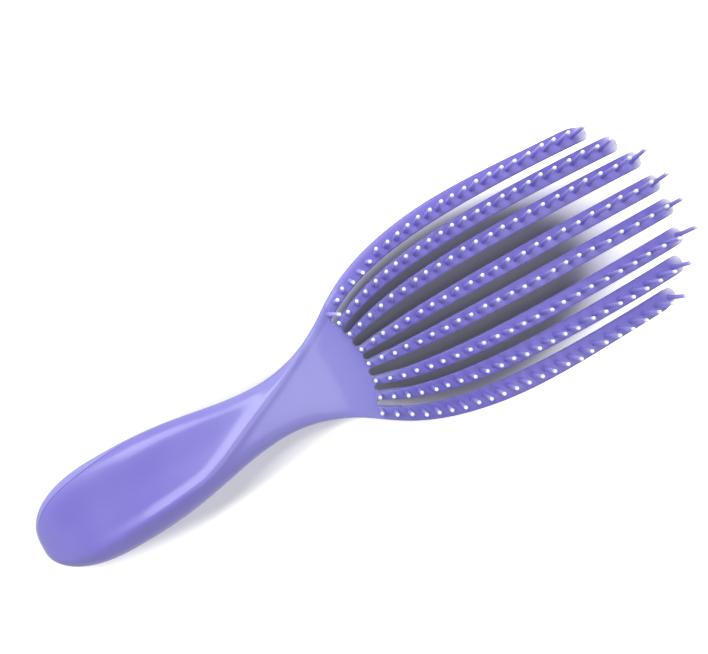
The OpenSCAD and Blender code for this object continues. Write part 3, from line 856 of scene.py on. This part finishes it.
def pin_shells(row, first, last):
    """Pins first to last of a row, in one array: rings round a leaning straight centre line,
    whose radius tapers from a fillet at the foot to a dome at the tip."""
    s = ROW_SHARES[row]
    k = np.arange(first, last + 1)
    t = pin_t(s, k)
    x, y = row_x(s) + t, s * row_half(t)
    base_r, tip_r = PIN_BASE_D / 2, PIN_TIP_D / 2
    dome = np.radians(PIN_DOME_RINGS)
    foot, stem = np.multiply(PIN_FILLET_H, PIN_FILLET_RINGS), np.multiply(PIN_L, PIN_STEM_RINGS)
    tip = PIN_L - tip_r * (1 - np.sin(dome))
    heights = np.concatenate([[-PIN_SINK], foot, stem, tip])
    radii = mix(base_r, tip_r, np.clip(heights / (PIN_L - tip_r), 0, 1))
    radii += PIN_FILLET_W * np.clip(1 - heights / PIN_FILLET_H, 0, 1) ** 2
    radii[0] = radii[1]
    radii[-len(dome):] = tip_r * np.cos(dome)
    turn = 2 * np.pi * np.arange(PIN_SIDES) / PIN_SIDES
    ring = np.stack([np.cos(turn), np.sin(turn)], -1)
    centre = np.stack([x, y], -1)[:, None] + PIN_LEANS[row, k][:, None] * heights[:, None]
    flat = centre[:, :, None] + radii[:, None, None] * ring
    level = (head_height(x, y) - droop(s, t))[:, None, None] + heights[:, None] + 0 * turn
    points = np.concatenate([flat, level[..., None]], -1)
    place = np.arange(points[..., 0].size).reshape(points.shape[:3])
    after = np.roll(place, -1, 2)
    sides = np.stack([place[:, :-1], after[:, :-1], after[:, 1:], place[:, 1:]], -1).reshape(-1, 4)
    faces = sides.tolist() + place[:, 0, ::-1].tolist() + place[:, -1].tolist()
    up = np.clip(heights / PIN_L, 0, 1)
    # Painted highlight: near-white over the pin's top, faint up the stem.
    tip_highlight = ease((up - PIN_HIGHLIGHT_FROM) / PIN_HIGHLIGHT_FADE)
    masks = {
        # Painted shade: a deeper violet past the roots.
        "deep": painted_root_shade(x, y)[:, None, None],
        # Painted light: lighter up the pin.
        "bright": mix(*PIN_PAINTED_LIGHT, up)[:, None],
        "pale": mix(PIN_STEM_HIGHLIGHT * up, 1, tip_highlight)[:, None],
    }
    masks = {key: np.broadcast_to(mask, points.shape[:3]).ravel() for key, mask in masks.items()}
    return points.reshape(-1, 3), faces, masks


pin_plastic = moulded_material("pin_painted_light_and_shade", coat=0.1, ripple=0.000006)
first_pins = [pin_shells(row, 0, 0) for row in range(len(ROW_SHARES))]
palm_pins = piece_from("palm_pins", first_pins, PIN_SMOOTH_ANGLE)
palm_pins.data.materials.append(pin_plastic)
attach(palm_pins, "handle")


# Roots of the eight arms: where the palm's plate divides, each arm is a slender bar of the
# full depth, moulded in one with the palm. It bends sideways here, between its first pins.
STRIP_BACK = 0.0035
ARC_STEPS = 3
FACE_CROWN = 0.00025
# Share of the painted highlight at the tips across the middle of the face.
FACE_HIGHLIGHT_SHARE = 0.45
FACE_COLUMNS = 4
FLEX_RINGS = 14


def bend_at(s):
    """Distance from a row's root to the cross hinge of its arm."""
    return (pin_t(s, 2) + pin_t(s, 3)) / 2


def bar_profile(radius, top, low, across):
    """Cross-section once round, with quarter-round corners: share across from -Y to +Y,
    inset from the side, and depth below the arched face."""
    turn = np.linspace(0, np.pi / 2, ARC_STEPS + 1)
    inset, rise = radius * (1 - np.cos(turn)), radius * (1 - np.sin(turn))
    flat = np.linspace(1, 0, across + 2)[1:-1]
    one = np.ones(ARC_STEPS + 1)
    share = np.concatenate([one, flat, 0 * one, 0 * one, one])
    insets = np.concatenate([inset, radius + 0 * flat, inset[::-1], inset, inset[::-1]])
    upper = [top + rise, top + 0 * flat, top + rise[::-1]]
    depth = np.concatenate([*upper, low - rise, low - rise[::-1]])
    return share, insets, depth


def bar_shell(x, y, profile, sink, blunt, pale):
    """A bar carried along an arm. x and y hold its -Y and +Y sides, one number per ring; sink
    is how far each ring lies under the face, blunt how far its top and bottom close in, and
    pale its share of the painted highlight, full at the sides and less across the middle."""
    share, inset, depth = profile
    along = mix(x[0][:, None], x[1][:, None], share)
    across = mix(y[0][:, None] + inset, y[1][:, None] - inset, share)
    depth = np.clip(depth, depth.min() + blunt[:, None], depth.max() - blunt[:, None])
    crown = FACE_CROWN * (2 * share - 1) ** 2
    level = head_height(along, across) - crown - sink[:, None] - depth
    points = np.stack([along, across, level], -1)
    place = np.arange(points[..., 0].size).reshape(points.shape[:2])
    after = np.roll(place, -1, 1)
    sides = np.stack([place[:-1], after[:-1], after[1:], place[1:]], -1).reshape(-1, 4)
    faces = sides.tolist() + [place[0, ::-1].tolist(), place[-1].tolist()]
    # Painted shade: a deeper violet past the roots.
    deep = painted_root_shade(along, across).ravel()
    # Painted highlight at the tips: full at the sides, less across the middle.
    pale = pale[:, None] * mix(FACE_HIGHLIGHT_SHARE, 1, abs(2 * share - 1))
    return points.reshape(-1, 3), faces, {"deep": deep, "bright": 0 * deep, "pale": pale.ravel()}


def flex_shell(row):
    """From the palm's cut line to the pin strip. The sides start on the round ends of the
    slots beside the arm and run onto its own straight sides."""
    s = ROW_SHARES[row]
    end = row_x(s) + bend_at(s) - STRIP_BACK
    q = np.linspace(0, 1, FLEX_RINGS)
    xs, ys = [], []
    for side in (-1, 1):
        outermost = row == (0 if side > 0 else len(ROW_SHARES) - 1)
        centre, radius, way = slot_frame(min(max(row - (side > 0), 0), len(ROW_SHARES) - 2))
        across = np.array([-way[1], way[0]])
        start = centre - side * radius * across
        if outermost:
            start = centre + side * (radius + EDGE_R) * across
            start = np.array([start[0], side * palm_half(start[0])])
        x = mix(start[0], end, q)
        edge = side * palm_half(x) if outermost else edge_y(s, x - row_x(s), side)
        edge = edge + (start[1] - edge[0]) * (1 - ease(3 * q))
        xs.append(x)
        ys.append(edge)
    profile = bar_profile(EDGE_R, 0, ARM_T, FACE_COLUMNS)
    return bar_shell(xs, ys, profile, 0 * q, 0 * q, 0 * q)


arm_plastic = moulded_material("arm_painted_shade_and_highlight", coat=0.1, ripple=0.00001)
for row, s in enumerate(ROW_SHARES):
    number = row + 1
    flex = piece_from(f"arm_flex_{number}", [flex_shell(row), pin_shells(row, 1, 1)])
    flex.data.materials.append(arm_plastic)
    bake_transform(flex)
    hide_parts(f"arm_root_{number}")


# Pin strips: the thin face of each arm, with the arm's full width, round corners at the tip
# and the rest of the row's pins standing on it. The last one leans out past the tip.
STRIP_T = 0.0013
TIP_R = 0.0022
OUTER_TIP_L, OUTER_TIP_W = 0.008, 0.003
STRIP_EDGE_R = 0.00045
ARM_RINGS = 56
TIP_STEPS = 8
# Painted highlight near the arms' tips, and how far back it reaches.
TIP_HIGHLIGHT = 0.9
TIP_HIGHLIGHT_L = 0.0055


def corner_cut(s, side, before_tip):
    """How much a side draws in round the tip's corner, by the distance before the tip. The
    outer corner of the outermost arms is a long quarter ellipse."""
    long, wide = (OUTER_TIP_L, OUTER_TIP_W) if s * side == 1 else (TIP_R, TIP_R)
    return wide * (1 - np.sqrt(1 - np.clip(1 - before_tip / long, 0, 1) ** 2))


def arm_shell(row, profile, inset, short):
    """Bar from the flexing root to the tip: rings at even steps, then closer together round
    the tip's corners, where the bar's edges turn in and its end curls down."""
    s = ROW_SHARES[row]
    length = row_l(s) - short
    body = np.linspace(bend_at(s) - STRIP_BACK, length - TIP_R, ARM_RINGS)
    turn = np.linspace(0, np.pi / 2, TIP_STEPS + 1)[1:]
    t = np.concatenate([body, length - TIP_R + TIP_R * np.sin(turn)])
    slant = np.sqrt(1 + row_slope(s, t) ** 2)
    y = []
    for side in (-1, 1):
        drawn_in = corner_cut(s, side, length - t) + inset
        y.append(edge_y(s, t, side) - side * slant * drawn_in)
    blunt = edge_drop(length - t, STRIP_EDGE_R)
    # Painted reflection: each arm's last millimetres turn near-white where its end curls down.
    pale = TIP_HIGHLIGHT * ease(1 - (row_l(s) - t) / TIP_HIGHLIGHT_L)
    return bar_shell([row_x(s) + t] * 2, y, profile, droop(s, t), blunt, pale)


face = bar_profile(STRIP_EDGE_R, 0, STRIP_T, FACE_COLUMNS)
for row, s in enumerate(ROW_SHARES):
    number = row + 1
    shells = [arm_shell(row, face, 0, 0), pin_shells(row, 2, ROW_PINS - 1)]
    strip = piece_from(f"arm_strip_{number}", shells)
    strip.data.materials.append(pin_plastic)
    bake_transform(strip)
    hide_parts(f"pin_strip_{number}")


# Webs: the deep spine of each arm under its pin strip, a little narrower than the strip, so
# that a fine step runs along both sides. It carries the strip.
WEB_INSET = 0.00035
WEB_EDGE_R = 0.0006

spine = bar_profile(WEB_EDGE_R, STRIP_T - 2 * WEB_EDGE_R, ARM_T, 1)
for row, s in enumerate(ROW_SHARES):
    number = row + 1
    web = piece_from(f"arm_web_{number}", [arm_shell(row, spine, WEB_INSET, WEB_INSET)])
    web.data.materials.append(arm_plastic)
    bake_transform(web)
    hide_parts(f"arm_{number}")
